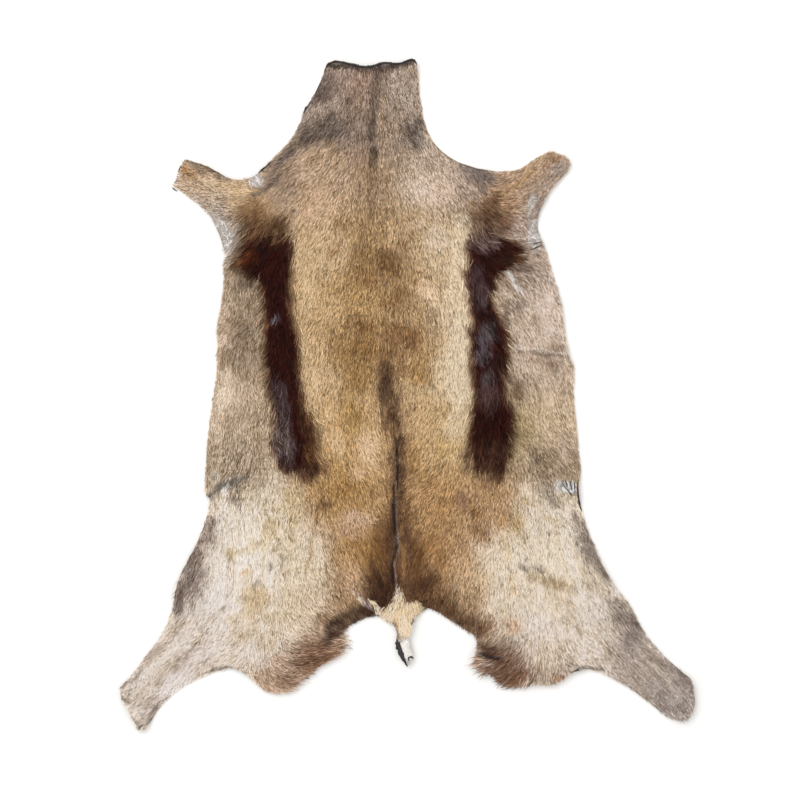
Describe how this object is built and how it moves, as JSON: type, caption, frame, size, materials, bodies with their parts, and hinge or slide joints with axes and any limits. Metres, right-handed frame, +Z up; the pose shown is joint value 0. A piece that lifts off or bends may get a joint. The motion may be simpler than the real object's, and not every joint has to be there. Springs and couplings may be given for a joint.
{
  "type": "springbok skin rug",
  "caption": "Whole springbok skin, tanned with the hair on and laid flat, hair side up, with legs, neck end and tail stub.",
  "frame": {"origin": "on the floor under the middle of the skin's box", "axes": "+Y towards the neck end, +X towards the skin's right flank as laid, +Z up out of the hair side"},
  "size_m": [0.86, 1.0072, 0.0151],
  "materials": {
    "hair_coat": "fawn hair on a tanned skin, matte"
  },
  "bodies": {
    "root": {"hide": "hair_coat"}
  },
  "joints": []
}
